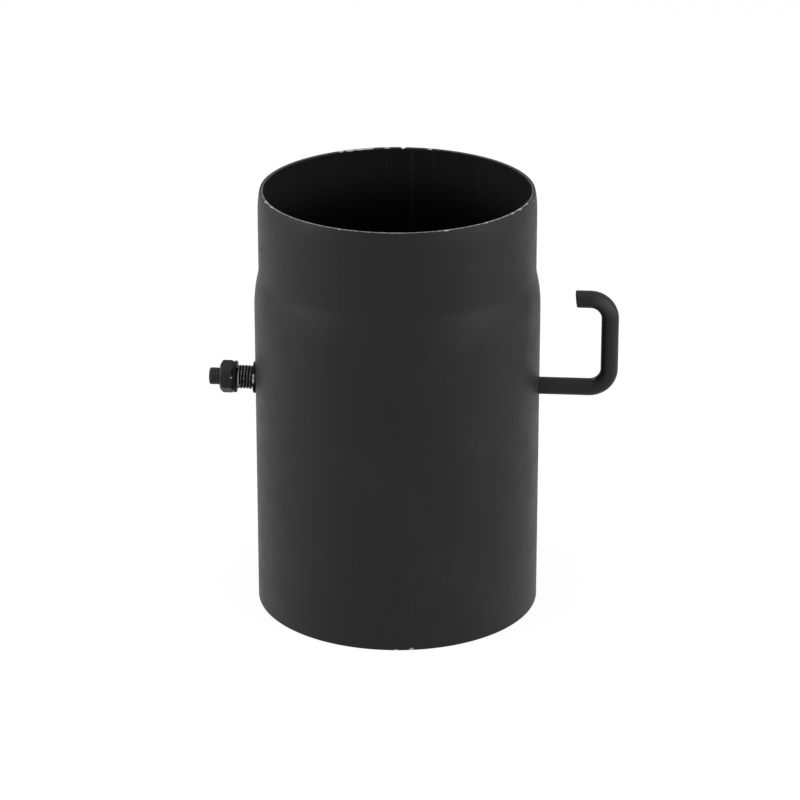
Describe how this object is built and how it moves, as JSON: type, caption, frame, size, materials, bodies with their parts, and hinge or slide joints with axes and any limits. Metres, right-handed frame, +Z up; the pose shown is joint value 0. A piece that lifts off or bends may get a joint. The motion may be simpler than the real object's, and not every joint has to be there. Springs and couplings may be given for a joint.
{
  "type": "stove pipe damper",
  "caption": "Short matt black stove pipe with a swaged upper end and a round damper blade on a sprung cross bar, turned by the bar's bent handle.",
  "frame": {"origin": "the pipe's axis at its plain lower rim, which the part stands on", "axes": "+Z up the pipe towards the swaged spigot, +X along the cross bar towards its handle; the open blade lies in the XZ plane"},
  "size_m": [0.2363, 0.164, 0.25],
  "materials": {
    "pipe_paint": "matt black heat-resistant paint",
    "bar_paint": "matt black heat-resistant paint",
    "blade_paint": "matt black heat-resistant paint",
    "spring_steel": "black paint rubbed through to steel on the coils",
    "fixing_steel": "darkened bare steel"
  },
  "bodies": {
    "pipe_body": {"pipe": "pipe_paint", "wall_washer": "bar_paint"},
    "damper": {"handle_rod": "bar_paint", "spring": "spring_steel", "nut_washer": "bar_paint", "rod_nut": "bar_paint", "damper_blade": "blade_paint", "strap_left": "blade_paint", "strap_right": "blade_paint", "stop_washer": "fixing_steel", "stop_pin": "fixing_steel", "strap_bolt_1": "fixing_steel", "strap_bolt_2": "fixing_steel", "strap_bolt_3": "fixing_steel", "strap_bolt_4": "fixing_steel", "strap_lock_washer_1": "fixing_steel", "strap_lock_washer_2": "fixing_steel", "strap_lock_washer_3": "fixing_steel", "strap_lock_washer_4": "fixing_steel", "strap_nut_1": "fixing_steel", "strap_nut_2": "fixing_steel", "strap_nut_3": "fixing_steel", "strap_nut_4": "fixing_steel"}
  },
  "joints": [
    {"name": "damper_turn", "type": "hinge", "parent": "pipe_body", "child": "damper", "pos_m": [0, 0, 0.133], "axis": [1, 0, 0], "continuous": true}
  ]
}
